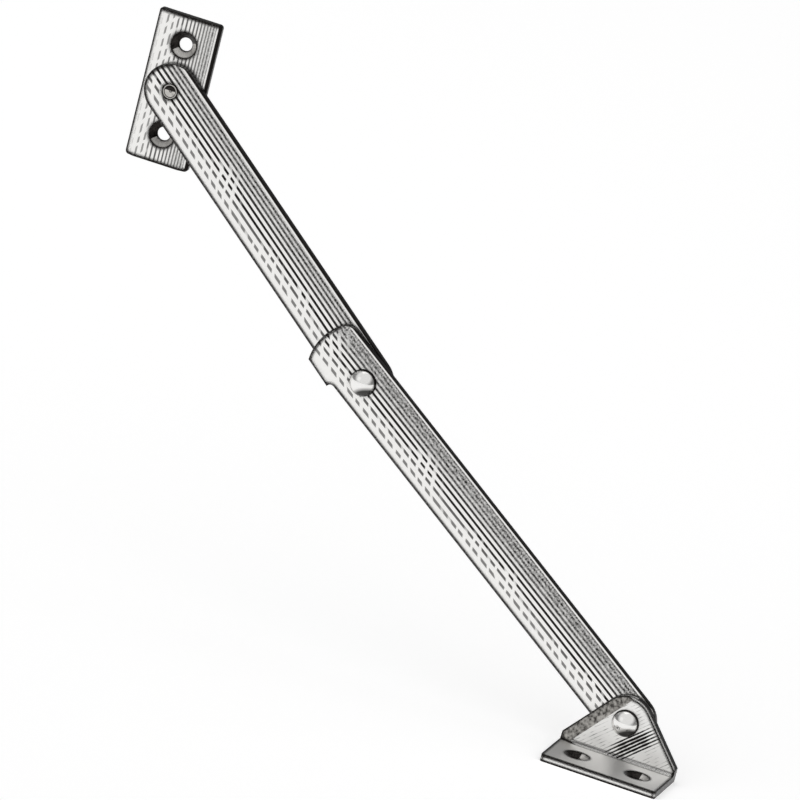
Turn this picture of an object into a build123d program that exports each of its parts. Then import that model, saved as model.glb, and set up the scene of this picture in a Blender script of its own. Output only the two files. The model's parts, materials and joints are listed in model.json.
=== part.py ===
from build123d import *
import os
from math import asin, atan2, cos, hypot, radians, sin, sqrt

# Jointed stay for a fall flap, a shutter or a bottom-hung light: two flat arms that fold at an
# elbow, between a wall plate and an angle bracket. It has no spring and no cylinder.
#
# Row frame, in millimetres: +Z is up, +X runs along the opening, and -Y looks out of the wall.
# The wall is the plane Y = 0, and the origin is the middle of the wall plate's back.
# A "depth" is a distance out of the wall, so a face at depth d lies at Y = -d.

# ---- wall plate -------------------------------------------------------------------------------
PLATE_LENGTH = 50.8
PLATE_WIDTH = 22.2
PLATE_THICK = 2.8
PLATE_BEVEL_WIDTH = 3.2         # long front edges, measured across the face
PLATE_BEVEL_DEPTH = 1.2         # the same bevel, measured into the thickness
PLATE_CORNER_R = 1.2
PLATE_SCREW_SPACING = 31.0

# ---- countersunk wood screw holes (No. 8 screws) ----------------------------------------------
SCREW_HOLE_D = 4.5
PLATE_SINK_D = 8.8
BRACKET_SINK_D = 8.2

# ---- arms: drawn strip with a slightly crowned front face -------------------------------------
ARM_WIDTH = 18.3
ARM_THICK = 2.4                 # at the top of the crown
ARM_CROWN = 0.45                # how much thinner the strip is at its long edges
ARM_EDGE_R = 0.35
UPPER_ARM_LENGTH = 114.0        # pivot to pivot
LOWER_ARM_LENGTH = 140.0        # pivot to pivot
UPPER_ARM_SLOPE = 39.6          # degrees below level, with the flap open
STOP_BOW = 4.4                  # degrees short of straight, where the stop lug meets the upper arm

# ---- the lower arm's end above the elbow, with the stop lug ------------------------------------
END_R = 20.0                    # end arc, about the elbow
END_CORNER_R = 5.0
LUG_START = 5.8                 # from the elbow, along the upper arm
LUG_THICK = 2.4
LUG_DEPTH = 2.4                 # reach behind the lower arm's back face
LUG_BEND_R = 1.5
LUG_ROOT_R = 1.6
STOP_GAP = 0.08                 # air between the lug and the upper arm's edge at the stop

# ---- pivots -----------------------------------------------------------------------------------
SHANK_D = 5.0
HEAD_D = 9.2
HEAD_HEIGHT = 3.7
HEAD_SEAT_MARGIN = 0.2          # the flat seat under a head is this much wider all round
WASHER_D = 13.0
WASHER_THICK = 0.5
WASHER_LAND_MARGIN = 0.3        # the flat land round a washer is this much wider all round
LAND_DEPTH = 0.25               # how far a washer's land lies below the top of the crown
BURR_D = 9.5
BURR_THICK = 0.8
TAIL_D = 6.8                    # upset end of a rivet, behind its burr
TAIL_HEIGHT = 0.6
PIVOT_CLEARANCE = 0.05          # radial, shank in a hole that turns on it
END_FLOAT = 0.05                # axial, between faces that turn on each other
FIT_GAP = 0.02                  # radial, pieces riveted tight together

# ---- stud of the wall plate: flush at the back, riveted over and dished at the front ------------
STUD_D = 4.0
STUD_BACK_D = 7.0
STUD_BACK_DEPTH = 1.2
STUD_FRONT_D = 4.9
STUD_FRONT_DEPTH = 0.6
STUD_DISH_D = 3.9
STUD_DISH_DEPTH = 0.8
STUD_DISH_POINT_D = 0.6         # the small flat at the bottom of the dish
STUD_BELOW_CROWN = 0.05

# ---- angle bracket ----------------------------------------------------------------------------
BRACKET_LENGTH = 40.0
BRACKET_DEPTH = 24.0            # from the upright's back to the front edge of the base
BASE_THICK = 2.4
UPRIGHT_THICK = 3.0
PIVOT_HEIGHT = 14.6             # above the underside of the base
UPRIGHT_TOP_R = 9.0
UPRIGHT_END_HEIGHT = 4.8
UPRIGHT_BEVEL_WIDTH = 4.0       # broad bevel on the slope that faces the arm
UPRIGHT_BEVEL_DEPTH = 1.5
UPRIGHT_EASE = 0.6              # narrow bevel on the other slope and round the top
INNER_CORNER_R = 1.0
BASE_EDGE_R = 0.5
BASE_CORNER_R = 1.0
BRACKET_SCREW_SPACING = 21.0

# ---- places, worked out from the sizes above ----------------------------------------------------
LOWER_ARM_SLOPE = UPPER_ARM_SLOPE - STOP_BOW
PLATE_PIVOT = (0.0, 0.0)
ELBOW = (
    UPPER_ARM_LENGTH * cos(radians(UPPER_ARM_SLOPE)),
    -UPPER_ARM_LENGTH * sin(radians(UPPER_ARM_SLOPE)),
)
BRACKET_PIVOT = (
    ELBOW[0] + LOWER_ARM_LENGTH * cos(radians(LOWER_ARM_SLOPE)),
    ELBOW[1] - LOWER_ARM_LENGTH * sin(radians(LOWER_ARM_SLOPE)),
)

UPPER_BACK = PLATE_THICK + WASHER_THICK + END_FLOAT
UPPER_FRONT = UPPER_BACK + ARM_THICK
LOWER_BACK = UPPER_FRONT - LAND_DEPTH + WASHER_THICK + END_FLOAT
LOWER_FRONT = LOWER_BACK + ARM_THICK
UPRIGHT_BACK = LOWER_FRONT - LAND_DEPTH + WASHER_THICK + END_FLOAT
UPRIGHT_FRONT = UPRIGHT_BACK + UPRIGHT_THICK

HOLE_DEPTH = (UPRIGHT_THICK + BRACKET_DEPTH) / 2     # middle of the base's free strip
LUG_INNER = ARM_WIDTH / 2 + STOP_GAP
LUG_OUTER = LUG_INNER + LUG_THICK

SLACK = 1.0                     # how far a cutting shape runs past the faces that it cuts
TOUCH = 0.01                    # how near an edge lies to the face that it is picked by


def crown_drop(offset):
    """How far the crowned face lies below its top, at a distance from the strip's centre line."""
    radius = ((ARM_WIDTH / 2) ** 2 + ARM_CROWN ** 2) / (2 * ARM_CROWN)
    return radius - sqrt(radius ** 2 - offset ** 2)


def face_frame(pivot, depth, slope=0.0):
    """A frame at a pivot: X runs down along the arm, Y across it, and Z out of the wall."""
    direction = (cos(radians(slope)), 0, -sin(radians(slope)))
    return Location(Plane((pivot[0], -depth, pivot[1]), x_dir=direction, z_dir=(0, -1, 0)))


def rod(diameter, low, high):
    """A cylinder along Z between two heights."""
    return Pos(0, 0, low) * Cylinder(
        diameter / 2, high - low, align=(Align.CENTER, Align.CENTER, Align.MIN)
    )


def taper(low_d, high_d, low, high):
    """A cone along Z between two heights."""
    return Pos(0, 0, low) * Cone(
        low_d / 2, high_d / 2, high - low, align=(Align.CENTER, Align.CENTER, Align.MIN)
    )


def screw_hole(sink_d, thick):
    """The tool for a countersunk screw hole, in a wall whose back lies at Z = 0."""
    sink_depth = (sink_d - SCREW_HOLE_D) / 2
    sink = taper(SCREW_HOLE_D, sink_d, thick - sink_depth, thick)
    return rod(SCREW_HOLE_D, -SLACK, thick) + sink + rod(sink_d, thick, thick + SLACK)


def ring(outer_d, inner_d, thick):
    """A flat washer standing on Z = 0."""
    return rod(outer_d, 0, thick) - rod(inner_d, -SLACK, thick + SLACK)


def crowned_bar(start, end, half_width):
    """A bar along X with the strip's crowned front, wider than any outline cut from it."""
    edge = ARM_THICK - crown_drop(half_width)
    with BuildSketch(Plane.YZ.offset(start)) as section:
        with BuildLine():
            Line((-half_width, edge), (-half_width, -LUG_DEPTH - SLACK))
            Line((-half_width, -LUG_DEPTH - SLACK), (half_width, -LUG_DEPTH - SLACK))
            Line((half_width, -LUG_DEPTH - SLACK), (half_width, edge))
            ThreePointArc((half_width, edge), (0, ARM_THICK), (-half_width, edge))
        make_face()
    return extrude(section.sketch, end - start)


def front_rim(solid, low):
    """The edges round a flat piece's front face, all of them above a height."""
    return [edge for edge in solid.edges()
            if min(edge.position_at(0).Z, edge.position_at(0.5).Z, edge.position_at(1).Z) > low]


HEAD_SEAT_DEPTH = crown_drop(HEAD_D / 2 + HEAD_SEAT_MARGIN)


# ---- wall plate and its pivot -------------------------------------------------------------------
def make_wall_plate():
    outline = RectangleRounded(PLATE_WIDTH, PLATE_LENGTH, PLATE_CORNER_R)
    plate = extrude(outline, PLATE_THICK)
    for side in (-1, 1):
        edge = side * PLATE_WIDTH / 2
        inner = edge - side * PLATE_BEVEL_WIDTH
        low = PLATE_THICK - PLATE_BEVEL_DEPTH
        with BuildSketch(Plane.XZ.offset(PLATE_LENGTH / 2 + SLACK)) as section:
            with BuildLine():
                Polyline((edge, low), (inner, PLATE_THICK), (edge, PLATE_THICK + SLACK),
                         (edge + side * SLACK, PLATE_THICK), (edge + side * SLACK, low),
                         close=True)
            make_face()
        plate -= extrude(section.sketch, -PLATE_LENGTH - 2 * SLACK)
    for side in (-1, 1):
        place = Pos(0, side * PLATE_SCREW_SPACING / 2, 0)
        plate -= place * screw_hole(PLATE_SINK_D, PLATE_THICK)
    plate -= stud_back(FIT_GAP) + rod(STUD_D + 2 * FIT_GAP, -SLACK, PLATE_THICK + SLACK)
    return face_frame(PLATE_PIVOT, 0) * plate


def stud_back(gap):
    """The stud's flush back end, or the countersink for it."""
    grow = 2 * gap
    return taper(STUD_BACK_D + grow, STUD_D + grow, 0, STUD_BACK_DEPTH)


def stud_front(gap):
    """The stud's riveted front end, or the countersink in the upper arm that it turns in."""
    top = UPPER_FRONT - STUD_BELOW_CROWN
    grow = 2 * gap
    return taper(STUD_D + grow, STUD_FRONT_D + grow, top - STUD_FRONT_DEPTH, top)


def make_plate_stud():
    top = UPPER_FRONT - STUD_BELOW_CROWN
    stud = stud_back(0) + rod(STUD_D, 0, top) + stud_front(0)
    stud -= taper(STUD_DISH_POINT_D, STUD_DISH_D, top - STUD_DISH_DEPTH, top)
    return face_frame(PLATE_PIVOT, 0) * stud


def make_plate_washer():
    washer = ring(WASHER_D, STUD_D + 2 * PIVOT_CLEARANCE, WASHER_THICK)
    return face_frame(PLATE_PIVOT, PLATE_THICK) * washer


# ---- arms ---------------------------------------------------------------------------------------
def washer_land():
    """The tool that coins a washer's flat land into a crowned face."""
    low = ARM_THICK - LAND_DEPTH
    return rod(WASHER_D + 2 * WASHER_LAND_MARGIN, low, ARM_THICK + SLACK)


def pivot_hole(diameter=SHANK_D):
    return rod(diameter + 2 * PIVOT_CLEARANCE, -SLACK, ARM_THICK + SLACK)


def make_upper_arm():
    half = ARM_WIDTH / 2
    outline = Pos(UPPER_ARM_LENGTH / 2, 0) * SlotCenterToCenter(UPPER_ARM_LENGTH, ARM_WIDTH)
    arm = extrude(outline, ARM_THICK)
    arm &= crowned_bar(-half - SLACK, UPPER_ARM_LENGTH + half + SLACK, half + SLACK)
    arm = fillet(front_rim(arm, ARM_THICK - 2 * ARM_CROWN), ARM_EDGE_R)
    elbow = Pos(UPPER_ARM_LENGTH, 0, 0)
    arm -= elbow * (washer_land() + pivot_hole())
    sink = Pos(0, 0, -UPPER_BACK) * stud_front(PIVOT_CLEARANCE)
    mouth = STUD_FRONT_D + 2 * PIVOT_CLEARANCE
    sink += rod(mouth, ARM_THICK - STUD_BELOW_CROWN, ARM_THICK + SLACK)
    arm -= pivot_hole(STUD_D) + sink
    return face_frame(PLATE_PIVOT, UPPER_BACK, UPPER_ARM_SLOPE) * arm


def lower_arm_outline():
    """The strip from the end arc to the far round end, with the wing that the lug hangs from."""
    half = ARM_WIDTH / 2
    strip = Pos(LOWER_ARM_LENGTH / 2, 0) * Rectangle(LOWER_ARM_LENGTH + 2 * END_R, ARM_WIDTH)
    strip -= Pos(LOWER_ARM_LENGTH + END_R, 0) * Rectangle(2 * END_R, ARM_WIDTH + SLACK)
    strip += Pos(LOWER_ARM_LENGTH, 0) * Circle(half)
    wing = Pos(-LUG_START, 0) * Rectangle(END_R, LUG_OUTER, align=Align.MAX)
    strip += Rot(0, 0, -STOP_BOW) * wing
    strip -= Pos(-END_R, 0) * Rectangle(2 * END_R, 4 * END_R) - Circle(END_R)

    corner = [point for point in strip.vertices() if point.X < -half and point.Y > half - TOUCH]
    strip = fillet(corner, END_CORNER_R)
    root = [point for point in strip.vertices()
            if abs(point.Y + half) < TOUCH and point.X < 0]
    return fillet(root, LUG_ROOT_R)


def make_lower_arm():
    half = ARM_WIDTH / 2
    arm = extrude(lower_arm_outline(), ARM_THICK)

    # The lug is the stretch of the wing beyond the upper arm's edge, carried on backwards.
    lug = Box(END_R, LUG_THICK, ARM_THICK + LUG_DEPTH, align=(Align.MAX, Align.MAX, Align.MIN))
    lug = Rot(0, 0, -STOP_BOW) * Pos(-LUG_START, -LUG_INNER, -LUG_DEPTH) * lug
    arm += lug & rod(2 * END_R, -LUG_DEPTH, ARM_THICK)

    rim = front_rim(arm, ARM_THICK - TOUCH)
    bend = [edge for edge in rim if edge.center().Y < -half - SLACK and edge.length > LUG_START]
    arm = fillet(bend, LUG_BEND_R)
    arm &= crowned_bar(-END_R - SLACK, LOWER_ARM_LENGTH + half + SLACK, LUG_OUTER + 2 * SLACK)
    rim = front_rim(arm, ARM_THICK - 2 * ARM_CROWN)
    arm = fillet([edge for edge in rim if edge.center().Y > -half - TOUCH], ARM_EDGE_R)

    seat = rod(HEAD_D + 2 * HEAD_SEAT_MARGIN, ARM_THICK - HEAD_SEAT_DEPTH, ARM_THICK + SLACK)
    arm -= seat + pivot_hole()
    arm -= Pos(LOWER_ARM_LENGTH, 0, 0) * (washer_land() + pivot_hole())
    return face_frame(ELBOW, LOWER_BACK, LOWER_ARM_SLOPE) * arm


def arm_washer():
    """The washer between an arm's land and the piece that turns on it."""
    return ring(WASHER_D, SHANK_D + 2 * PIVOT_CLEARANCE, WASHER_THICK)


def domed_rivet(grip):
    """A rivet with its head seated on Z = 0, the shank running back, and an upset tail.

    The grip is the distance from under the head to the back of the burr."""
    sphere_r = ((HEAD_D / 2) ** 2 + HEAD_HEIGHT ** 2) / (2 * HEAD_HEIGHT)
    head = Pos(0, 0, HEAD_HEIGHT - sphere_r) * Sphere(sphere_r)
    head &= rod(2 * HEAD_D, 0, HEAD_HEIGHT + SLACK)
    tail = taper(SHANK_D, TAIL_D, -grip - TAIL_HEIGHT, -grip)
    return head + rod(SHANK_D, -grip, 0) + tail


def burr():
    return ring(BURR_D, SHANK_D + 2 * FIT_GAP, BURR_THICK)


def make_elbow_rivet():
    seat = LOWER_FRONT - HEAD_SEAT_DEPTH
    grip = seat - (UPPER_BACK - END_FLOAT - BURR_THICK)
    return face_frame(ELBOW, seat) * domed_rivet(grip)


def make_elbow_washer():
    return face_frame(ELBOW, UPPER_FRONT - LAND_DEPTH) * arm_washer()


def make_elbow_burr():
    return face_frame(ELBOW, UPPER_BACK - END_FLOAT - BURR_THICK) * burr()


# ---- bracket and its pivot ------------------------------------------------------------------------
def upright_outline():
    """The upright seen from the front, with the pivot at the origin."""
    half = BRACKET_LENGTH / 2
    foot = Pos(0, -PIVOT_HEIGHT) * Rectangle(
        BRACKET_LENGTH, UPRIGHT_END_HEIGHT, align=(Align.CENTER, Align.MIN)
    )
    return make_hull(foot.edges() + Circle(UPRIGHT_TOP_R).edges())


def slope_frame():
    """The frame of the broad bevel: X runs up the slope, and Z stands off the bevelled face."""
    reach = hypot(BRACKET_LENGTH / 2, PIVOT_HEIGHT - UPRIGHT_END_HEIGHT)
    lean = atan2(PIVOT_HEIGHT - UPRIGHT_END_HEIGHT, BRACKET_LENGTH / 2)
    lean += asin(UPRIGHT_TOP_R / reach)
    along = Vector(cos(lean), sin(lean), 0)
    outward = Vector(-sin(lean), cos(lean), 0)
    knee = Vector(-BRACKET_LENGTH / 2, UPRIGHT_END_HEIGHT - PIVOT_HEIGHT, 0)
    start = knee + Vector(0, 0, UPRIGHT_THICK - UPRIGHT_BEVEL_DEPTH)
    normal = outward * UPRIGHT_BEVEL_DEPTH + Vector(0, 0, UPRIGHT_BEVEL_WIDTH)
    return Location(Plane(start, x_dir=along, z_dir=normal))


def angle_bar():
    """The drawn angle that the bracket is cut from, with its inner corner and free edge rounded."""
    foot = -PIVOT_HEIGHT
    upright = Rectangle(PIVOT_HEIGHT + UPRIGHT_TOP_R + SLACK, UPRIGHT_THICK, align=Align.MIN)
    section = Pos(foot, 0) * (upright + Rectangle(BASE_THICK, BRACKET_DEPTH, align=Align.MIN))
    inner = section.vertices().sort_by_distance((foot + BASE_THICK, UPRIGHT_THICK, 0))[0]
    section = fillet(inner, INNER_CORNER_R)
    free = section.vertices().sort_by_distance((foot + BASE_THICK, BRACKET_DEPTH, 0))[0]
    section = fillet(free, BASE_EDGE_R)
    return extrude(Plane.YZ * section, BRACKET_LENGTH / 2, both=True)


def make_bracket():
    foot = -PIVOT_HEIGHT
    plan = RectangleRounded(BRACKET_LENGTH, 2 * BRACKET_DEPTH, BASE_CORNER_R)
    bracket = angle_bar() & extrude(upright_outline(), BRACKET_DEPTH)
    bracket &= extrude(Plane.XZ * plan, 2 * PIVOT_HEIGHT, both=True)
    bevel = slope_frame() * Box(4 * BRACKET_LENGTH, 4 * PIVOT_HEIGHT, 2 * UPRIGHT_THICK,
                                align=(Align.CENTER, Align.CENTER, Align.MIN))
    above_base = Box(2 * BRACKET_LENGTH, 2 * PIVOT_HEIGHT, 2 * BRACKET_DEPTH,
                     align=(Align.CENTER, Align.MIN, Align.CENTER))
    bracket -= bevel & Pos(0, foot + BASE_THICK, 0) * above_base
    rim = [edge for edge in front_rim(bracket, UPRIGHT_THICK - TOUCH)
           if edge.center().X > 0 and edge.center().Y > foot + UPRIGHT_END_HEIGHT]
    bracket = chamfer(rim, UPRIGHT_EASE)

    for side in (-1, 1):
        place = Pos(side * BRACKET_SCREW_SPACING / 2, foot, HOLE_DEPTH) * Rot(-90, 0, 0)
        bracket -= place * screw_hole(BRACKET_SINK_D, BASE_THICK)
    bracket -= rod(SHANK_D + 2 * FIT_GAP, -SLACK, UPRIGHT_THICK + SLACK)
    return face_frame(BRACKET_PIVOT, UPRIGHT_BACK) * bracket


def make_bracket_rivet():
    grip = UPRIGHT_FRONT - (LOWER_BACK - END_FLOAT - BURR_THICK)
    return face_frame(BRACKET_PIVOT, UPRIGHT_FRONT) * domed_rivet(grip)


def make_bracket_washer():
    return face_frame(BRACKET_PIVOT, LOWER_FRONT - LAND_DEPTH) * arm_washer()


def make_bracket_burr():
    return face_frame(BRACKET_PIVOT, LOWER_BACK - END_FLOAT - BURR_THICK) * burr()


PIECES = {
    "wall_plate": make_wall_plate,
    "plate_stud": make_plate_stud,
    "plate_washer": make_plate_washer,
    "upper_arm": make_upper_arm,
    "elbow_washer": make_elbow_washer,
    "elbow_burr": make_elbow_burr,
    "elbow_rivet": make_elbow_rivet,
    "lower_arm": make_lower_arm,
    "bracket_washer": make_bracket_washer,
    "bracket_burr": make_bracket_burr,
    "bracket_rivet": make_bracket_rivet,
    "bracket": make_bracket,
}

if __name__ == "__main__":
    os.makedirs("parts", exist_ok=True)
    for name, make in PIECES.items():
        export_step(make(), f"parts/{name}.step")
    print("elbow at", ELBOW, "bracket pivot at", BRACKET_PIVOT)
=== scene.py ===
# %% [markdown]
# A jointed stay holds a fall flap, a shutter or a bottom-hung light open. Two strips of drawn
# metal fold at an elbow, between a wall plate and an angle bracket. This lesson dresses a
# finished CAD model of one. The CAD decides every size and joint, and Blender gives each piece
# its worked edges, its clean shading and the finish that its metal has.

# %% Load the frame
import json
import math
from functools import partial

import bmesh
import bpy
from mathutils import Matrix, Vector


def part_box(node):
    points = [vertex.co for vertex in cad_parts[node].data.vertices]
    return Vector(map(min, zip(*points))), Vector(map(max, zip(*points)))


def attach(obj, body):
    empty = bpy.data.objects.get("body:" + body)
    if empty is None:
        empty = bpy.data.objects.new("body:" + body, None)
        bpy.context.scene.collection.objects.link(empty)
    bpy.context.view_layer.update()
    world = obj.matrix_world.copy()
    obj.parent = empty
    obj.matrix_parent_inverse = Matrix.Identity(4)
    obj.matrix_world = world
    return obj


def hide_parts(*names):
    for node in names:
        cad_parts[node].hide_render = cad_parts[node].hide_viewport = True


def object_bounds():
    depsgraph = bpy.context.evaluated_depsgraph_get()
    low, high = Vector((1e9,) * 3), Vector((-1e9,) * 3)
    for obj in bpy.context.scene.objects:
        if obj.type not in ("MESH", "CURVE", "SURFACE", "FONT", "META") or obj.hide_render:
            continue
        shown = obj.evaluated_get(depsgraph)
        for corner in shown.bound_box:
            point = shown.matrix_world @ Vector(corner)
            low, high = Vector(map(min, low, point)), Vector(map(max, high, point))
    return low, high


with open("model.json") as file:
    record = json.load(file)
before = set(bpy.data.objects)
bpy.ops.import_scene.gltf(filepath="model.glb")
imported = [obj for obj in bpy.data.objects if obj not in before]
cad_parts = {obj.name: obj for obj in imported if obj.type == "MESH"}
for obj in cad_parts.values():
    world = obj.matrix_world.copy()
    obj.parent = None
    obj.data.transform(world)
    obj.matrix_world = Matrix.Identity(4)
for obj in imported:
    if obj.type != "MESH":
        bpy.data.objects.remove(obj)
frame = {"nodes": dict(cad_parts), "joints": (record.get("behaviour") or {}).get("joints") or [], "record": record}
nodes = frame["nodes"]
cad_low, cad_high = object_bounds()
MM = 0.001
print("CAD box in mm:", [round(side / MM, 1) for side in cad_high - cad_low])

# %% [markdown]
# The record's joints say where each pivot is. The run from one pivot to the next gives every
# slope that the finishes need, so no angle of the object is typed in by hand.

# %% Pivots and slopes
pivots = {joint["name"]: Vector(joint["pos_m"]) for joint in frame["joints"]}


def slope_between(start, end):
    """How steeply a strip falls from left to right, seen from the front."""
    run = pivots[end] - pivots[start]
    return math.atan2(-run.z, run.x)


UPPER_SLOPE = slope_between("plate_pivot", "elbow")
LOWER_SLOPE = slope_between("elbow", "bracket_pivot")
print("slopes in degrees:", [round(math.degrees(s), 2) for s in (UPPER_SLOPE, LOWER_SLOPE)])

# %% [markdown]
# A stay is long and thin, so a maker's drawing shows it from a little to the right and a little
# above, turned to lie along the sheet's diagonal. A long lens far away keeps parallel edges
# parallel, as such a drawing does. A camera can be placed by eye, but its three axes, worked out
# from two angles and a roll, keep the aim and the tilt apart.

# %% Camera
VIEW_AZIMUTH = math.radians(14.0)
VIEW_ELEVATION = math.radians(16.0)
VIEW_ROLL = math.radians(14.35)
VIEW_WIDTH = 259.7 * MM         # what the picture takes in, from side to side
AIM_RIGHT = -2.2 * MM           # from the middle of the object, along the picture
AIM_UP = 0.1 * MM
LENS = 400.0                    # in millimetres, as is the sensor
SENSOR = 36.0
CLIP_END = 20.0                 # in metres

back = Vector((
    math.sin(VIEW_AZIMUTH) * math.cos(VIEW_ELEVATION),
    -math.cos(VIEW_AZIMUTH) * math.cos(VIEW_ELEVATION),
    math.sin(VIEW_ELEVATION),
))
level_right = Vector((math.cos(VIEW_AZIMUTH), math.sin(VIEW_AZIMUTH), 0.0))
level_up = back.cross(level_right)
right = level_right * math.cos(VIEW_ROLL) + level_up * math.sin(VIEW_ROLL)
up = level_up * math.cos(VIEW_ROLL) - level_right * math.sin(VIEW_ROLL)

middle = (cad_low + cad_high) / 2
aim = middle + right * AIM_RIGHT + up * AIM_UP
distance = VIEW_WIDTH * LENS / SENSOR
camera = bpy.data.objects.new("camera", bpy.data.cameras.new("camera"))
camera.data.lens = LENS
camera.data.sensor_width = SENSOR
camera.data.clip_end = CLIP_END
camera.matrix_world = Matrix.Translation(aim + back * distance) @ Matrix(
    (right, up, back)
).transposed().to_4x4()
bpy.context.scene.collection.objects.link(camera)
bpy.context.scene.camera = camera
print("camera distance in m:", round(distance, 2))

# %% [markdown]
# Shader colours are linear, while a colour read off a swatch is sRGB, so one function turns a
# hex value to linear. Another adds a node to a tree. What it is given as a node or a socket it
# links, and what it is given as a value it sets.

# %% Colour and node helpers
LOW_COLOUR, HIGH_COLOUR, BLENDED = 6, 7, 2      # the colour sockets of a Mix node, by place


def colour(code):
    """An sRGB hex value as linear RGBA."""
    parts = [int(code[place:place + 2], 16) / 255 for place in (1, 3, 5)]
    linear = [part / 12.92 if part <= 0.04045 else ((part + 0.055) / 1.055) ** 2.4
              for part in parts]
    return (*linear, 1.0)


def add_node(tree, kind, inputs=(), **settings):
    """Adds a node with its settings. Inputs are given in order, or by name or place."""
    node = tree.nodes.new("ShaderNode" + kind)
    for name, value in settings.items():
        setattr(node, name, value)
    for name, value in inputs.items() if isinstance(inputs, dict) else enumerate(inputs):
        if isinstance(value, bpy.types.Node):
            value = value.outputs[0]
        if isinstance(value, bpy.types.NodeSocket):
            tree.links.new(value, node.inputs[name])
        else:
            node.inputs[name].default_value = value
    return node


def new_material(name):
    """An empty material, and the helper that adds nodes to it."""
    material = bpy.data.materials.new(name)
    material.use_nodes = True
    material.node_tree.nodes.clear()
    return material, partial(add_node, material.node_tree)


# %% [markdown]
# Worn rims. Plating wears through first where two faces meet, so every sharp edge of the stay
# has a dark border. A border could be cut into each mesh, but the Bevel node finds it without:
# its normal turns away from the face's own where an edge is near.

# %% Worn rims
RIM_TURN = 0.998                # the cosine at which the border starts
RIM_FULL = 0.985                # and the one at which it is fully worn
RIM_SAMPLES = 12


def worn_rim(add, reach):
    """How strongly a point lies in the border along a sharp edge, from 0 to 1."""
    rounded = add("Bevel", {"Radius": reach}, samples=RIM_SAMPLES)
    turned = add("VectorMath", (rounded, add("NewGeometry").outputs["Normal"]),
                 operation="DOT_PRODUCT").outputs["Value"]
    return add("MapRange", (turned, RIM_TURN, RIM_FULL, 0.0, 1.0))


# %% [markdown]
# Drawn strip. The arms and the wall plate are steel strip pulled through a die, then nickel
# plated. The die leaves grooves that run the whole length. Towards the lower edge the grooves
# are broken into short dashes as a painted highlight, and towards the upper edge they get closer
# and turn to dots as a painted shade. A texture image could show that, but bands that are
# stretched along the strip need no image, and a Mapping node lays them along each piece's own
# slope. Real die grooves are about 0.1 mm apart. They are drawn coarser here, because finer ones
# would vanish.

# %% Coordinates along a strip
def strip_space(add, pivot, slope):
    """Object coordinates with X along a strip, Z across it, and the origin at a pivot."""
    turn = Matrix.Rotation(-slope, 3, "Y")
    return add("Mapping", {"Vector": add("TexCoord").outputs["Object"],
                           "Rotation": (0, -slope, 0), "Location": -(turn @ pivot)})


# %% [markdown]
# The grooves themselves are one wave texture. Three things are done to it in turn: a threshold
# turns the wave to lines that widen towards the upper edge, as painted shade, a second wave breaks
# the lines into dashes in a wandering stretch towards the lower edge, as a painted highlight, and
# small dots of painted shade take over from the lines where they are close. The lowest margin of
# a strip keeps no line, which is painted highlight too.

# %% Die grooves
FINE_GRAIN = 0.2 * MM
FINE_SHARE = 0.4                # how much of the fine grain is added to the wave
GRAIN_STRETCH = 1 / 120.0       # how much slower the grooves change along the strip
CROWDING = 0.51                 # how much closer the grooves lie at the upper edge, as painted shade
WAVE_TURN = 2 * math.pi / 20.0  # Blender's wave texture makes 20 radians per unit of scale
SLANTED_TURN = 2 * WAVE_TURN    # and 10 radians where its bands are diagonal
THRESHOLD = 0.86
NARROWING = 0.36                # how far the threshold drops towards the upper edge
LINE_SOFTNESS = 0.22
DASH = 4.2 * MM                 # a dash and the gap after it
DASH_GAP = 0.72                 # the dash wave's height above which a groove is left out, for the painted highlight
DASH_SOFTNESS = 0.15
END_FADE = 4.0 * MM             # over which the all-dashed end turns to whole lines
HIGHLIGHT_STRETCH = 22.0 * MM                 # how far the dashed stretch of painted highlight wanders at a time
HIGHLIGHT_MARGIN = 1.4 * MM         # the lowest part of a strip, left without lines as a painted highlight
MARGIN_FADE = 1.0 * MM
LOWEST_DEPTH = 0.75             # how much of their depth the lowest grooves keep
DOT = 0.5 * MM
DOT_GAP, DOT_FULL = 0.38, 0.62  # the heights of the dot noise at which a dot of painted shade starts and is full
DOT_PALEST = 0.4

# Places across a strip, as shares of its half width, from the middle up.
HIGHLIGHT_WANDER = 2.4                # how far the dashed stretch of painted highlight reaches up and down
ALL_DASHED, WHOLE = -0.5, -0.15     # below the one all grooves are dashes, above the other none is
SHALLOW, DEEP = -0.5, -0.2      # from the one to the other the grooves reach their full depth
NO_DOTS, MOST_DOTS = 0.15, 0.7


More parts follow.
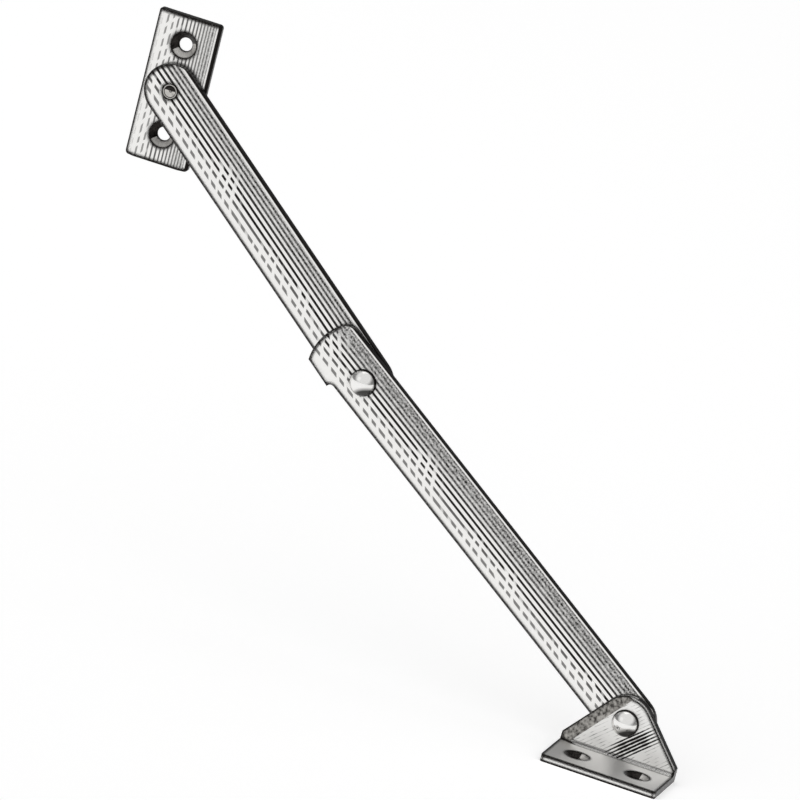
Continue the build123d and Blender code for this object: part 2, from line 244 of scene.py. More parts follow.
def die_grooves(add, strip, half_width, spacing, phase, thin, dots, dashed_end):
    """Grooves as an amount from 0 to 1, with painted shade towards the upper edge and painted highlight towards
    the lower, and the fine grain between them.
    """
    parts = add("SeparateXYZ", (strip,)).outputs
    along, across = parts["X"], parts["Z"]

    # The grooves crowd together: their place across the strip grows with its square.
    square = add("Math", (across, across), operation="MULTIPLY")
    crowded = add("Math", (square, CROWDING / (2 * half_width), across), operation="MULTIPLY_ADD")
    slowed = add("Math", (along, GRAIN_STRETCH), operation="MULTIPLY")
    grain = add("CombineXYZ", (slowed, parts["Y"], crowded))
    bands = add("TexWave", {
        "Vector": grain, "Scale": WAVE_TURN / spacing, "Phase Offset": phase, "Distortion": 0.7,
        "Detail Scale": 0.8}, wave_type="BANDS", bands_direction="Z").outputs["Fac"]
    fine = add("TexNoise", {"Vector": grain, "Scale": 1 / FINE_GRAIN, "Detail": 3.0})
    height = add("Math", (fine, FINE_SHARE, bands), operation="MULTIPLY_ADD")
    threshold = add("MapRange", (across, -half_width, half_width, THRESHOLD + thin,
                                 THRESHOLD + thin - NARROWING))
    full = add("Math", (threshold, LINE_SOFTNESS), operation="ADD")
    lines = add("MapRange", (height, threshold, full, 0.0, 1.0))

    # The dashes are a painted highlight towards the lower edge.
    dash_wave = add("TexWave", {
        "Vector": strip, "Scale": SLANTED_TURN / DASH, "Distortion": 3.0, "Detail": 1.0},
        wave_type="BANDS", bands_direction="DIAGONAL").outputs["Fac"]
    gaps = add("MapRange", (dash_wave, DASH_GAP - DASH_SOFTNESS, DASH_GAP + DASH_SOFTNESS,
                            0.0, 1.0))
    wander = add("TexNoise", {"Vector": strip, "Scale": 1 / HIGHLIGHT_STRETCH, "Detail": 1.0})
    wandering = add("Math", (wander, -HIGHLIGHT_WANDER * half_width, across), operation="MULTIPLY_ADD")
    edge = add("MapRange", (wandering, (ALL_DASHED - HIGHLIGHT_WANDER / 2) * half_width,
                            (WHOLE - HIGHLIGHT_WANDER / 2) * half_width, 1.0, 0.0))
    end = add("MapRange", (along, dashed_end, dashed_end + END_FADE, 1.0, 0.0))
    dashed_highlight = add("Math", (edge, end), operation="MAXIMUM")
    lost = add("Math", (gaps, dashed_highlight), operation="MULTIPLY")
    kept = add("Math", (1.0, lost), operation="SUBTRACT")
    # The lowest margin keeps no line, as a painted highlight.
    plain = HIGHLIGHT_MARGIN - half_width
    shown = add("MapRange", (across, plain, plain + MARGIN_FADE, 0.0, LOWEST_DEPTH))
    deeper = add("MapRange", (across, SHALLOW * half_width, DEEP * half_width, 0.0,
                              1.0 - LOWEST_DEPTH))
    depth = add("Math", (shown, deeper), operation="ADD")
    # The grooves that are kept, thinned towards the lower edge as painted highlight.
    worn = add("Math", (kept, depth), operation="MULTIPLY")
    dashes = add("Math", (lines, worn), operation="MULTIPLY")

    # Dots of painted shade take over towards the upper edge.
    dot_noise = add("TexNoise", {"Vector": strip, "Scale": 1 / DOT, "Detail": 1.0})
    shade_stipple = add("MapRange", (dot_noise, DOT_GAP, DOT_FULL, DOT_PALEST, 1.0))
    share = add("MapRange", (across, NO_DOTS * half_width, MOST_DOTS * half_width, 0.0, dots))
    return add("Mix", {"Factor": share, "A": dashes, "B": shade_stipple}), fine


# %% [markdown]
# The nickel goes over the grooves. Along the upper edge of each strip a dark line is painted as
# shade, with a plain bright band below it as a painted highlight. Along the other edges the
# plating is worn. The arms' upper edges aren't, because they are round and rub on nothing.

# %% Drawn nickel strip
NICKEL = "#f1f0ee"
BARE_STEEL_AND_SHADE = "#1f1d1c"          # steel that has lost its plating and turned dark, also the colour of painted shade
STRIP_WEAR = 2.6 * MM
HIGHLIGHT_LINE_WIDTH = 0.5 * MM
SOFT_EDGE = 0.12 * MM           # over which one finish turns to the next
WEAR_FADE = 0.5 * MM
GRAIN_DEPTH = 0.02 * MM
GROOVE_DEPTH = 0.04 * MM
PLATED_ROUGHNESS, BARE_ROUGHNESS = 0.26, 0.42


def drawn_strip(name, pivot, slope, half_width, spacing, phase, thin, depth, dots, shade_line, unworn,
                dashed_end):
    """Nickel-plated drawn steel. The grooves run along a slope in the XZ plane."""
    material, add = new_material(name)
    strip = strip_space(add, pivot, slope)
    grooves, fine = die_grooves(add, strip, half_width, spacing, phase, thin, dots, dashed_end)
    across = add("SeparateXYZ", (strip,)).outputs["Z"]

    # A dark line along the upper edge is painted shade, and the plain band below it a painted highlight.
    upper = half_width - shade_line
    highlight_line = upper - HIGHLIGHT_LINE_WIDTH
    plain = add("MapRange", (across, highlight_line - SOFT_EDGE, highlight_line, depth, 0.0))
    marked = add("Math", (grooves, plain), operation="MULTIPLY")
    above = add("MapRange", (across, upper - SOFT_EDGE, upper, 0.0, 1.0))
    band = half_width - unworn
    below = add("MapRange", (across, band, band + WEAR_FADE, 1.0, 0.0))
    rim = add("Math", (below, worn_rim(add, STRIP_WEAR)), operation="MULTIPLY")
    edged = add("Math", (above, rim), operation="MAXIMUM")
    dark = add("Math", (marked, edged), operation="MAXIMUM")

    fine_bump = add("Bump", {"Height": fine, "Strength": 0.3, "Distance": GRAIN_DEPTH})
    bump = add("Bump", {"Height": dark, "Strength": 0.3, "Distance": GROOVE_DEPTH,
                        "Normal": fine_bump}, invert=True)
    tone = add("Mix", {
        "Factor": dark, LOW_COLOUR: colour(NICKEL), HIGH_COLOUR: colour(BARE_STEEL_AND_SHADE)},
        data_type="RGBA").outputs[BLENDED]
    shader = add("BsdfPrincipled", {
        "Base Color": tone, "Metallic": 1.0,
        "Roughness": add("MapRange", (dark, 0.0, 1.0, PLATED_ROUGHNESS, BARE_ROUGHNESS)),
        "Normal": bump})
    add("OutputMaterial", {"Surface": shader})
    return material


PLATE_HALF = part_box("wall_plate")[1].x
ARM_HALF = -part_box("upper_arm")[0].x
PLATE_SLOPE = math.radians(90.0)
PLATE_SHADE_LINE = 1.1 * MM
UPPER_ARM_SHADE_LINE = 0.65 * MM
LOWER_ARM_SHADE_LINE = 0.35 * MM
ARM_UNWORN = 3.2 * MM           # how far down from an arm's upper edge there is no wear
DASHED_PAST_ELBOW = -14.0 * MM         # where the lower arm runs on past the elbow, all its grooves are dashes
NOWHERE = -1.0                  # a place along the strip that no piece reaches
upper_strip = drawn_strip(
    "upper_arm_drawn_nickel", pivots["plate_pivot"], UPPER_SLOPE, ARM_HALF, spacing=1.89 * MM,
    phase=0.28, thin=0.0, depth=1.0, dots=0.45, shade_line=UPPER_ARM_SHADE_LINE, unworn=ARM_UNWORN,
    dashed_end=NOWHERE)
lower_strip = drawn_strip(
    "lower_arm_drawn_nickel", pivots["elbow"], LOWER_SLOPE, ARM_HALF, spacing=1.83 * MM,
    phase=0.92, thin=0.0, depth=1.0, dots=0.75, shade_line=LOWER_ARM_SHADE_LINE, unworn=ARM_UNWORN,
    dashed_end=DASHED_PAST_ELBOW)
plate_strip = drawn_strip(
    "wall_plate_drawn_nickel", pivots["plate_pivot"], PLATE_SLOPE, PLATE_HALF,
    spacing=1.35 * MM, phase=0.0, thin=0.05, depth=0.85, dots=0.5, shade_line=PLATE_SHADE_LINE,
    unworn=0.0, dashed_end=NOWHERE)
print("strip widths in mm:", [round(2 * half / MM, 1) for half in (ARM_HALF, PLATE_HALF)])

# %% [markdown]
# Worked steel. Where a tool has been, the surface is matt and mottled. The countersinks of the
# screw holes keep the fine marks of the cutter and are still bright. Sheared sides and broken
# edges lose their plating first and have turned dark, and the same dark steel is used as painted
# shade on faces turned from the light. The bracket's bevelled slope is ground, and lies between
# the two. One function makes all three, from two colours, the size of the marks and a roughness.

# %% Worked steel
CUTTER_MARK = 0.25 * MM
SHEAR_MARK = 0.6 * MM
GRINDING_MARK = 1.2 * MM
MARK_DEPTH = 0.03 * MM
STEEL_WEAR = 1.4 * MM
STEEL_SPREAD = 0.08             # how far the roughness varies to either side
NOISE_LOW, NOISE_HIGH = 0.35, 0.65      # nearly all of a noise texture lies between these


def worked_steel(name, dark, light, mark, roughness):
    """Steel mottled by the marks of a tool, with dark rims."""
    material, add = new_material(name)
    place = add("TexCoord").outputs["Object"]
    marks = add("TexNoise", {"Vector": place, "Scale": 1 / mark, "Detail": 2.0})
    bump = add("Bump", {"Height": marks, "Strength": 0.3, "Distance": MARK_DEPTH})
    mottled = add("Mix", {
        "Factor": add("MapRange", (marks, NOISE_LOW, NOISE_HIGH, 0.0, 1.0)),
        LOW_COLOUR: colour(dark), HIGH_COLOUR: colour(light)}, data_type="RGBA")
    edged = add("Mix", {
        "Factor": worn_rim(add, STEEL_WEAR), LOW_COLOUR: mottled.outputs[BLENDED],
        HIGH_COLOUR: colour(BARE_STEEL_AND_SHADE)}, data_type="RGBA")
    shader = add("BsdfPrincipled", {
        "Base Color": edged.outputs[BLENDED], "Metallic": 1.0,
        "Roughness": add("MapRange", (marks, NOISE_LOW, NOISE_HIGH, roughness - STEEL_SPREAD,
                                      roughness + STEEL_SPREAD)),
        "Normal": bump})
    add("OutputMaterial", {"Surface": shader})
    return material


hole_steel = worked_steel("countersink_steel", "#bfbcb8", "#f0eeeb", CUTTER_MARK, 0.55)
worn_edge_and_shade = worked_steel("worn_edge_steel", BARE_STEEL_AND_SHADE, "#3a3735", SHEAR_MARK, 0.32)
ground_slope = worked_steel("ground_slope_steel", "#4c4a47", "#b4b1ac", GRINDING_MARK, 0.32)
print("worked steel:", [kind.name for kind in (hole_steel, worn_edge_and_shade, ground_slope)])

# %% [markdown]
# Polished nickel. The domed heads and the bracket are buffed before plating, so they mirror the
# room. Buffing never leaves a true plane: the face has slow waves a few millimetres long, which
# bend the reflections. Below the bracket's rivet a bundle of dark streaks, parallel to its
# bevelled slope, is painted on the upright as a reflection.

# %% Painted reflection streaks
STROKE_SPACING = 1.1 * MM
STROKE_WANDER = 2.0 * MM
BUNDLE_HALF_LENGTH = 10.5 * MM
BUNDLE_HALF_WIDTH = 3.7 * MM
LENGTH_CORE, WIDTH_CORE = 0.4, 0.5      # the shares of these in which the strokes don't fade
BUNDLE_REACH = 3.5 * MM         # how far out from the upright's back there are strokes
BUNDLE_DEPTH = 0.9              # what lying in the bundle adds to the height of the wave
WANDER_DEPTH = 0.7              # what the wander adds
STREAK_FROM, STREAK_FULLY = 1.25, 1.6         # the heights at which a stroke starts and is full


def painted_reflection_streaks(add, bundle_middle, bundle_slope):
    """A bundle of painted reflection streaks as an amount from 0 to 1, fading at its ends and sides."""
    bundle = strip_space(add, bundle_middle, bundle_slope)
    parts = add("SeparateXYZ", (bundle,)).outputs
    wander = add("TexNoise", {"Vector": bundle, "Scale": 1 / STROKE_WANDER, "Detail": 1.0})
    strokes = add("TexWave", {
        "Vector": bundle, "Scale": WAVE_TURN / STROKE_SPACING, "Distortion": 0.6},
        wave_type="BANDS", bands_direction="Z").outputs["Fac"]
    along = add("Math", (parts["X"],), operation="ABSOLUTE")
    across = add("Math", (parts["Z"],), operation="ABSOLUTE")
    lengthwise = add("MapRange", (along, LENGTH_CORE * BUNDLE_HALF_LENGTH, BUNDLE_HALF_LENGTH,
                                  1.0, 0.0))
    sideways = add("MapRange", (across, WIDTH_CORE * BUNDLE_HALF_WIDTH, BUNDLE_HALF_WIDTH,
                                1.0, 0.0))
    fading = add("Math", (lengthwise, sideways), operation="MULTIPLY")
    raised = add("Math", (fading, BUNDLE_DEPTH, strokes), operation="MULTIPLY_ADD")
    depth = add("Math", (wander, WANDER_DEPTH, raised), operation="MULTIPLY_ADD")
    on_upright = add("Math", (parts["Y"], -BUNDLE_REACH), operation="GREATER_THAN")
    # How strongly the painted reflection streaks darken each point.
    cut = add("MapRange", (depth, STREAK_FROM, STREAK_FULLY, 0.0, 1.0))
    return add("Math", (on_upright, cut), operation="MULTIPLY")


# %% [markdown]
# A crescent of painted shade darkens the lower right of each domed head, the side turned away
# from the light at the upper left. The bracket gets none of it.
# The rims of both are worn, as on the strips.

# %% Polished nickel
POLISHED_NICKEL = "#f3f2f0"
BUFFING_WAVE = 6.0 * MM
BUFFING_DEPTH = 0.1 * MM
POLISH_SPREAD = 0.04            # how far the roughness varies to either side
POLISHED_WEAR = 2.0 * MM
AWAY_FROM_LIGHT = Vector((0.4, -0.45, -0.8)).normalized()
CRESCENT_SHADE_FROM = 0.6               # the cosine from which the painted shade starts
CRESCENT_SHADE_FULLY = 0.82


def polished_nickel(name, roughness, crescent_darkness, strokes=None):
    """Buffed and nickel-plated steel, with a crescent of painted shade. The strokes are the middle and slope of
    painted reflection streaks, where it has any.
    """
    material, add = new_material(name)
    place = add("TexCoord")
    waves = add("TexNoise", {
        "Vector": place.outputs["Object"], "Scale": 1 / BUFFING_WAVE, "Detail": 2.0})
    bump = add("Bump", {"Height": waves, "Strength": 0.2, "Distance": BUFFING_DEPTH})
    turned = add("VectorMath", (place.outputs["Normal"], AWAY_FROM_LIGHT),
                 operation="DOT_PRODUCT").outputs["Value"]
    crescent_shade = add("MapRange", (turned, CRESCENT_SHADE_FROM, CRESCENT_SHADE_FULLY, 0.0, crescent_darkness))
    dark = add("Math", (crescent_shade, worn_rim(add, POLISHED_WEAR)), operation="MAXIMUM")
    if strokes:
        dark = add("Math", (dark, painted_reflection_streaks(add, *strokes)), operation="MAXIMUM")
    tone = add("Mix", {
        "Factor": dark, LOW_COLOUR: colour(POLISHED_NICKEL), HIGH_COLOUR: colour(BARE_STEEL_AND_SHADE)},
        data_type="RGBA").outputs[BLENDED]
    shader = add("BsdfPrincipled", {
        "Base Color": tone, "Metallic": 1.0,
        "Roughness": add("MapRange", (waves, NOISE_LOW, NOISE_HIGH, roughness - POLISH_SPREAD,
                                      roughness + POLISH_SPREAD)),
        "Normal": bump})
    add("OutputMaterial", {"Surface": shader})
    return material


STROKES_RIGHT = 4.0 * MM        # from the rivet to the middle of the bundle
STROKES_BELOW = 6.4 * MM
STROKES_SLOPE = math.radians(-42.0)
strokes_middle = pivots["bracket_pivot"] + Vector((STROKES_RIGHT, 0, -STROKES_BELOW))
# The bracket's streaks below the rivet are a painted reflection.
buffed = polished_nickel("buffed_nickel", roughness=0.18, crescent_darkness=0.95)
buffed_bracket = polished_nickel("buffed_bracket_nickel", roughness=0.45, crescent_darkness=0.0,
                                 strokes=(strokes_middle, STROKES_SLOPE))
print("polished nickel:", [kind.name for kind in (buffed, buffed_bracket)])

# %% [markdown]
# Hammered steel. Burrs and upset tails are worked with a hammer from behind and left bright.
# Small dents catch the light one by one, so a cell pattern drives the bump.

# %% Hammered steel
HAMMERED_STEEL = "#cfccc8"
DENT = 1.0 * MM
DENT_DEPTH = 0.12 * MM
DENT_ROUGHNESS, RIDGE_ROUGHNESS = 0.24, 0.42


def hammered_steel(name):
    """Bright steel with the small dents that riveting leaves."""
    material, add = new_material(name)
    place = add("TexCoord").outputs["Object"]
    dents = add("TexVoronoi", {"Vector": place, "Scale": 1 / DENT}, feature="SMOOTH_F1")
    bump = add("Bump", {"Height": dents, "Strength": 0.4, "Distance": DENT_DEPTH})
    shader = add("BsdfPrincipled", {
        "Base Color": colour(HAMMERED_STEEL), "Metallic": 1.0,
        "Roughness": add("MapRange", (dents, 0.0, 1.0, DENT_ROUGHNESS, RIDGE_ROUGHNESS)),
        "Normal": bump})
    add("OutputMaterial", {"Surface": shader})
    return material


hammered = hammered_steel("hammered_steel")
print("dents", DENT / MM, "mm apart in", hammered.name)

# %% [markdown]
# Stamped brass. The washers show only as a thin edge between the arms, so they need the colour
# of brass and the darker stain that a stamped edge takes.

# %% Stamped brass
BRASS = "#d0ad66"
TARNISH = "#94743d"
STAIN = 2.0 * MM
STAIN_FROM, STAIN_FULLY = 0.45, 0.7     # heights of the noise


def stamped_brass(name):
    """Plain stamped brass, a little tarnished."""
    material, add = new_material(name)
    place = add("TexCoord").outputs["Object"]
    stain = add("TexNoise", {"Vector": place, "Scale": 1 / STAIN, "Detail": 4.0})
    tone = add("Mix", {
        "Factor": add("MapRange", (stain, STAIN_FROM, STAIN_FULLY, 0.0, 1.0)),
        LOW_COLOUR: colour(BRASS), HIGH_COLOUR: colour(TARNISH)}, data_type="RGBA")
    shader = add("BsdfPrincipled", {
        "Base Color": tone.outputs[BLENDED], "Metallic": 1.0, "Roughness": 0.3})
    add("OutputMaterial", {"Surface": shader})
    return material


brass = stamped_brass("stamped_brass")
print("stains about", STAIN / MM, "mm across in", brass.name)

# %% [markdown]
# Finishing a piece. Every piece ends the same way: a bmesh becomes an object at the origin, its
# faces are shaded smoothly up to a set angle, a Bevel modifier breaks its sharp edges so that
# they catch the light, and a Weighted Normal modifier keeps the big faces flat. The broken edges
# take the dark worn steel, and the faces that are turned far enough from the front take the same
# dark steel as painted shade. Then the piece rides on its body and stands for its CAD node.

# %% Finish a piece
SHARP = math.radians(25.0)
WELD = 0.0005 * MM
MAIN, WORN_AND_SHADE = 0, 1               # the material slots that every piece has


def finish_piece(mesh, node, material, body, broken_edge, turned=0.0):
    """Makes an object of a bmesh. Faces that look forward by less than turned get the dark worn steel as painted
    shade.
    """
    for face in mesh.faces:
        face.smooth = True
        face.material_index = WORN_AND_SHADE if abs(face.normal.y) < turned else MAIN
    for edge in mesh.edges:
        edge.smooth = len(edge.link_faces) == 2 and edge.calc_face_angle() < SHARP
    name = "dressed_" + node
    data = bpy.data.meshes.new(name)
    mesh.to_mesh(data)
    mesh.free()
    data.materials.append(material)
    data.materials.append(worn_edge_and_shade)
    piece = bpy.data.objects.new(name, data)
    bpy.context.scene.collection.objects.link(piece)
    if broken_edge:
        edges = piece.modifiers.new("broken_edges", "BEVEL")
        edges.width = broken_edge
        edges.segments = 2
        edges.limit_method = "ANGLE"
        edges.angle_limit = SHARP
        edges.harden_normals = True
        edges.material = WORN_AND_SHADE
    shading = piece.modifiers.new("even_shading", "WEIGHTED_NORMAL")
    shading.keep_sharp = True
    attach(piece, body)
    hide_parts(node)
    print(name, len(data.polygons), "faces")
    return piece


# %% [markdown]
# Flat pieces. The wall plate, the arms and the bracket keep their CAD shape. A CAD mesh comes in
# as loose triangles, which can't be shaded smoothly, so a copy is merged and the triangles of
# each flat face are joined. The arms' edges are already round in the CAD, so only the plate and
# the bracket have theirs broken here.

# %% Flat pieces from the CAD
FLAT = math.radians(0.1)
BROKEN_EDGE = 0.25 * MM
STRIP_SIDE_SHADE = 0.9               # a face of a strip that looks forward by less than this gets the dark steel: bare sheared steel, and painted shade as well
FLAT_FACE = 0.98                # a face that looks this squarely along an axis is flat


def merged_copy(node):
    """A CAD node's mesh with its triangles merged into faces."""
    mesh = bmesh.new()
    mesh.from_mesh(nodes[node].data)
    bmesh.ops.remove_doubles(mesh, verts=mesh.verts, dist=WELD)
    bmesh.ops.dissolve_limit(mesh, angle_limit=FLAT, verts=mesh.verts, edges=mesh.edges)
    return mesh


plate = finish_piece(merged_copy("wall_plate"), "wall_plate", plate_strip, "wall_side",
                     BROKEN_EDGE, STRIP_SIDE_SHADE)
finish_piece(merged_copy("upper_arm"), "upper_arm", upper_strip, "upper_arm",
             0, STRIP_SIDE_SHADE)
finish_piece(merged_copy("lower_arm"), "lower_arm", lower_strip, "lower_arm",
             0, STRIP_SIDE_SHADE)
bracket = finish_piece(merged_copy("bracket"), "bracket", buffed_bracket, "bracket",
                       BROKEN_EDGE)

# %% [markdown]
# The bracket's broad slope is ground after the blank is cut and isn't polished, so it keeps a
# matt, mottled grey. It is the one large face that looks forward and also up to the left. The
# base's two ends and the upright's right side are sheared and get the dark steel, which also
# paints shade on them. The rounded front edge of the base is worn, so it gets the dark steel too.

# %% Ground slope, sheared ends and worn rim
RIM = 0.6 * MM                  # how far in from the base's front edge the wear reaches
GROUND = 2                      # the bracket's third material slot
LEANING = 0.1                   # how much of a face's normal counts as a lean
FORWARD_FACING = 0.5
TILTED = 0.2                    # how far a worn face looks to the right, or up
EDGE_ON = 0.3                   # a face that looks forward by less than this is seen edge on
bracket_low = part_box("bracket")[0]


def bracket_slot(place, normal):
    """The material slot for a face of the bracket, from its place and normal."""
    if normal.x < -LEANING and normal.y < -FORWARD_FACING and normal.z > LEANING:
        return GROUND
    # The ends and the upright's right side: dark sheared steel, and painted shade.
    end = abs(normal.x) > FLAT_FACE
    right_side = normal.x > TILTED and abs(normal.y) < EDGE_ON
    front_edge = place.y < bracket_low.y + RIM and TILTED < normal.z < FLAT_FACE
    return WORN_AND_SHADE if end or right_side or front_edge else MAIN


bracket.data.materials.append(ground_slope)
counts = [0, 0, 0]
for face in bracket.data.polygons:
    face.material_index = bracket_slot(face.center, face.normal)
    counts[face.material_index] += 1
print("polished, worn and ground faces:", counts)

# %% [markdown]
# The walls of the screw holes get the cut steel. A face belongs to a hole where its middle lies
# within the countersink's radius of the hole's axis, and it doesn't lie flat in the piece's
# own face. The record's mounts say where the holes are. The walls on the side of each hole
# towards the light look away from it and stand in shade, so they get the dark steel as painted shade.

# %% Screw holes
SINK_RADIUS = 4.4 * MM
SHADE_BELOW = 0.1                    # walls on the lit side look away from it: a cosine below this gets painted shade
PLATE_LIT_SIDE = Vector((-0.5, 0, 0.87))    # from a hole's middle towards the light, in each piece
BRACKET_LIT_SIDE = Vector((-1, 0, 0))


def line_holes(piece, mount, spacing_axis, spacing_name, lit_side):
    """Gives the walls of two screw holes the cut steel, and the dark steel as painted shade on the side towards
    the light.
    """
    cut = len(piece.data.materials)
    piece.data.materials.append(hole_steel)
    axis = Vector(mount["axis"])
    half = spacing_axis * mount["dims"][spacing_name] * MM / 2
    lined = 0
    for face in piece.data.polygons:
        for centre in (Vector(mount["pos_m"]) - half, Vector(mount["pos_m"]) + half):
            out = face.center - centre
            out -= axis * out.dot(axis)
            if out.length < SINK_RADIUS and abs(face.normal.dot(axis)) < FLAT_FACE:
                face.material_index = WORN_AND_SHADE if face.normal.dot(lit_side) < SHADE_BELOW else cut
                lined += 1
    print(piece.name, lined, "faces in its screw holes")


mounts = {mount["name"]: mount for mount in frame["record"]["mounts"]}
line_holes(plate, mounts["wall_plate_screws"], Vector((0, 0, 1)), "spacing_y_mm", PLATE_LIT_SIDE)
line_holes(bracket, mounts["bracket_screws"], Vector((1, 0, 0)), "spacing_x_mm", BRACKET_LIT_SIDE)

# %% [markdown]
# Turned pieces. Rivets, burrs, washers and the stud are round about their pivot, so each one is
# a half outline spun right round. The outline starts from a few vertices, given as a radius and
# a depth out of the wall. A lathe works in the same way, and the surface comes out smoother
# than CAD triangles.

# %% Spin an outline about a pivot
TURN_STEPS = 64


def half_outline(outline, pivot, closed):
    """A bmesh with the edges of a half outline of (radius, depth) points."""
    mesh = bmesh.new()
    points = [mesh.verts.new((pivot.x + radius, -depth, pivot.z)) for radius, depth in outline]
    for start, end in zip(points, points[1:] + points[:1] if closed else points[1:]):
        mesh.edges.new((start, end))
    return mesh


def spin_round(mesh, pivot):
    """Spins a half outline right round a pivot's axis."""
    bmesh.ops.spin(mesh, geom=mesh.verts[:] + mesh.edges[:], cent=(pivot.x, 0, pivot.z),
                   axis=(0, 1, 0), angle=2 * math.pi, steps=TURN_STEPS, use_merge=True)
    bmesh.ops.remove_doubles(mesh, verts=mesh.verts, dist=WELD)
    bmesh.ops.recalc_face_normals(mesh, faces=mesh.faces)
    return mesh


def depths(node):
    """The depths out of the wall at which a node starts and ends."""
    low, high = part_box(node)
    return -high.y, -low.y


def radius_of(node):
    """Half a round node's width."""
    low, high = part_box(node)
    return (high.x - low.x) / 2


for node in ("plate_stud", "elbow_rivet", "bracket_rivet"):
    print(node, "radius in mm:", round(radius_of(node) / MM, 2))


# %% [markdown]
# Domed rivets. A rivet's head is pressed to a dome, its shank fills the hole, and its tail is
# hammered out over the burr. The dome is an arc that meets the axis squarely, so it has no
# point. One vertex spun about the dome's middle draws it, down to the short upright rim that a
# heading tool leaves. The foot of a head, where it meets the piece below, gets the dark steel as
# painted shade.

# %% Domed rivets
SHANK_RADIUS = 2.5 * MM
HEAD_HEIGHT = 3.7 * MM
HEAD_RIM = 0.25 * MM
TAIL_RADIUS = 3.4 * MM
TAIL_HEIGHT = 0.6 * MM
DOME_STEPS = 18
HEAD_FOOT_SHADE = 0.45                # the foot of a head looks forward by less than this


def domed_rivet(node, pivot):
    """A rivet with a domed head and an upset tail."""
    tail, top = depths(node)
    seat = top - HEAD_HEIGHT
    edge = radius_of(node)
    rise = HEAD_HEIGHT - HEAD_RIM
    mesh = half_outline([
        (edge, top - rise), (edge, seat), (SHANK_RADIUS, seat), (SHANK_RADIUS, tail + TAIL_HEIGHT),
        (TAIL_RADIUS, tail), (0, tail)], pivot, closed=False)
    dome = (edge ** 2 + rise ** 2) / (2 * rise)
    crest = mesh.verts.new((pivot.x, -top, pivot.z))
    bmesh.ops.spin(mesh, geom=[crest], cent=(pivot.x, dome - top, pivot.z), axis=(0, 0, 1),
                   angle=math.atan2(edge, dome - rise), steps=DOME_STEPS, use_merge=False)
    bmesh.ops.remove_doubles(mesh, verts=mesh.verts, dist=WELD)
    return spin_round(mesh, pivot)


for node, pivot, body in (("elbow_rivet", "elbow", "lower_arm"),
                          ("bracket_rivet", "bracket_pivot", "bracket")):
    finish_piece(domed_rivet(node, pivots[pivot]), node, buffed, body,
                 0, HEAD_FOOT_SHADE)

# %% [markdown]
# The plate's stud. Its back end is flush in a countersink. Its front end is riveted over just
# below the arm's face, with the dish that the punch leaves. The dish's upper wall, which looks
# down and away from the light, gets the dark steel as painted shade.

# %% Plate stud
STUD_RADIUS = 2.0 * MM
STUD_BACK_DEPTH = 1.2 * MM
STUD_FRONT_RADIUS = 2.45 * MM
STUD_FRONT_DEPTH = 0.6 * MM
DISH_RADIUS = 1.95 * MM
DISH_POINT = 0.3 * MM
DISH_DEPTH = 0.8 * MM
STUD_EDGE = 0.15 * MM
DISH_FORWARD, DISH_DOWNWARD = 0.3, 0.1   # how far the dish's upper wall looks each way

stud_back, stud_top = depths("plate_stud")
stud = spin_round(half_outline([
    (0, stud_back), (radius_of("plate_stud"), stud_back),
    (STUD_RADIUS, stud_back + STUD_BACK_DEPTH), (STUD_RADIUS, stud_top - STUD_FRONT_DEPTH),
    (STUD_FRONT_RADIUS, stud_top), (DISH_RADIUS, stud_top), (DISH_POINT, stud_top - DISH_DEPTH),
    (0, stud_top - DISH_DEPTH),
], pivots["plate_pivot"], closed=False), pivots["plate_pivot"])
stud = finish_piece(stud, "plate_stud", hammered, "wall_side", STUD_EDGE)
# The upper wall of the dish gets the dark steel as painted shade.
for face in stud.data.polygons:
    in_dish = face.center.y > -stud_top and face.center.z > pivots["plate_pivot"].z
    if in_dish and face.normal.y < -DISH_FORWARD and face.normal.z < -DISH_DOWNWARD:
        face.material_index = WORN_AND_SHADE

# %% [markdown]
# Washers and burrs are rings stamped from sheet. A burr is the small washer that a rivet's tail
# is hammered over.

# %% Washers and burrs
RING_EDGE = 0.1 * MM
SHANK_HOLE = 2.55 * MM
STUD_HOLE = 2.05 * MM
BURR_HOLE = 2.51 * MM


def stamped_ring(node, pivot, hole):
    """A flat ring with the outer size and the depth of its CAD node."""
    low, high = depths(node)
    edge = radius_of(node)
    ring = half_outline([(hole, low), (edge, low), (edge, high), (hole, high)], pivot, closed=True)
    return spin_round(ring, pivot)


for node, pivot, hole, body in (("plate_washer", "plate_pivot", STUD_HOLE, "wall_side"),
                                ("elbow_washer", "elbow", SHANK_HOLE, "upper_arm"),
                                ("bracket_washer", "bracket_pivot", SHANK_HOLE, "lower_arm")):
    finish_piece(stamped_ring(node, pivots[pivot], hole), node, brass, body,
                 RING_EDGE)
for node, pivot, body in (("elbow_burr", "elbow", "lower_arm"),
                          ("bracket_burr", "bracket_pivot", "bracket")):
    finish_piece(stamped_ring(node, pivots[pivot], BURR_HOLE), node, hammered, body,
                 RING_EDGE)

# %% [markdown]
# The floor is a sheet of white paper under the bracket. It is matt, so it keeps a soft shadow.
# More light would bleach the nickel before the paper is white. So the paper is lifted instead,
# only where the camera, a mirror or glass looks at it, and polished metal mirrors it as white.

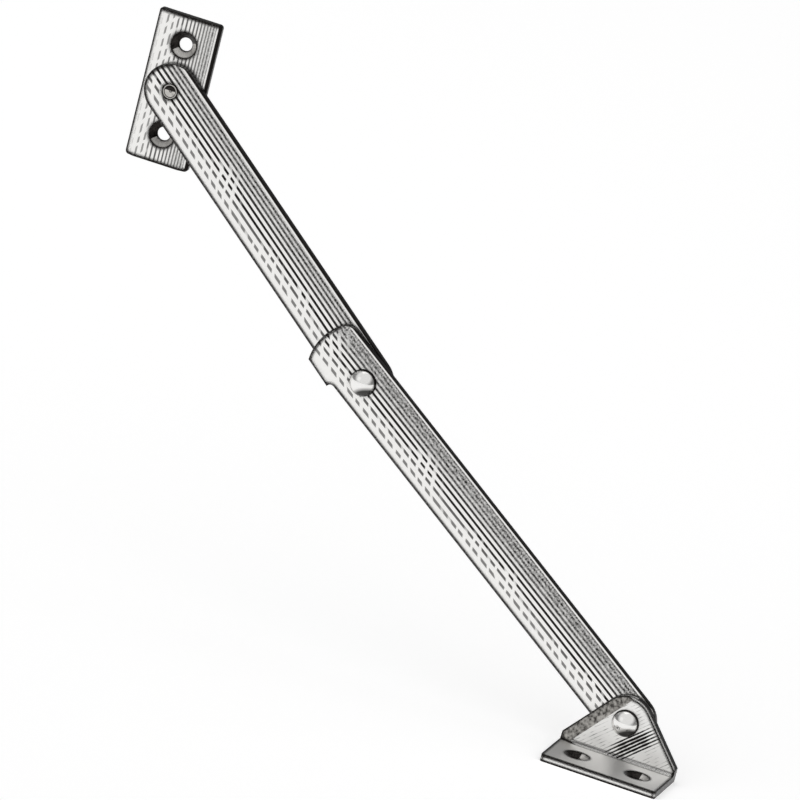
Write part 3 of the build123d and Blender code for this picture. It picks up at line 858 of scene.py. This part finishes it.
# %% Floor
PAPER = "#fafafa"
PAPER_LIFT = 0.42
FLOOR_SIZE = 40.0               # half a side, in metres
FLOOR_DROP = 0.1 * MM           # air under the bracket
paper, add = new_material("white_paper")
path = add("LightPath").outputs
looked_at = add("Math", (path["Is Camera Ray"], path["Is Glossy Ray"]), operation="MAXIMUM")
looked_at = add("Math", (looked_at, path["Is Transmission Ray"]), operation="MAXIMUM")
lift = add("Math", (looked_at, PAPER_LIFT), operation="MULTIPLY")
matt = add("BsdfDiffuse", {"Color": colour(PAPER)})
add("OutputMaterial", {"Surface": add("AddShader", (matt, add("Emission", {"Strength": lift})))})
mesh = bmesh.new()
bmesh.ops.create_grid(mesh, x_segments=1, y_segments=1, size=FLOOR_SIZE)
bmesh.ops.translate(mesh, verts=mesh.verts, vec=(middle.x, 0, cad_low.z - FLOOR_DROP))
floor = bpy.data.objects.new("floor", bpy.data.meshes.new("floor"))
mesh.to_mesh(floor.data)
mesh.free()
floor.data.materials.append(paper)
bpy.context.scene.collection.objects.link(floor)

# %% [markdown]
# The room. Metal looks like what it mirrors, so the room decides how a stay looks. It is bright
# overhead and in front, and grey behind the stay near the ground. The bracket's base and the
# upper rims of the heads mirror the grey part, which keeps them from looking like white plastic.

# %% World
GREY_WALL = "#8c8c8c"
BRIGHT_WALL = "#ffffff"
ROOM_LIGHT = 0.8
FORWARD = -0.9                  # how much the front of the room counts as high up
GREY_BELOW, BRIGHT_ABOVE = 0.45, 0.85
world = bpy.data.worlds.new("studio")
bpy.context.scene.world = world
world.use_nodes = True
world.node_tree.nodes.clear()
add = partial(add_node, world.node_tree)
way = add("SeparateXYZ", (add("TexCoord").outputs["Generated"],)).outputs
height = add("Math", (way["Y"], FORWARD, way["Z"]), operation="MULTIPLY_ADD")
walls = add("Mix", {
    "Factor": add("MapRange", (height, GREY_BELOW, BRIGHT_ABOVE, 0.0, 1.0)),
    LOW_COLOUR: colour(GREY_WALL), HIGH_COLOUR: colour(BRIGHT_WALL)}, data_type="RGBA")
room = add("Background", {"Color": walls.outputs[BLENDED], "Strength": ROOM_LIGHT})
add("OutputWorld", {"Surface": room})
print("room light:", ROOM_LIGHT)

# %% [markdown]
# Lamps. The room gives most of the light. One broad softbox hangs high behind the stay and a
# little to the left, and throws the soft shadow forward. A weak one fills from the front.

# %% Softboxes
def softbox(name, place, size, power):
    """A square lamp, in metres and watts, that faces the middle of the object."""
    lamp = bpy.data.lights.new(name, "AREA")
    lamp.size = size
    lamp.energy = power
    holder = bpy.data.objects.new(name, lamp)
    holder.location = middle + Vector(place)
    holder.rotation_euler = (-Vector(place)).to_track_quat("-Z", "Y").to_euler()
    bpy.context.scene.collection.objects.link(holder)
    print(name, "lamp of", power, "W")


softbox("key", place=(-0.4, 0.5, 1.6), size=1.2, power=2.0)
softbox("fill", place=(-1.2, -1.6, 1.0), size=1.0, power=0.5)

# %% [markdown]
# Last, the colours are shown as they are, without a film curve.

# %% Finish
bpy.context.scene.view_settings.view_transform = "Standard"
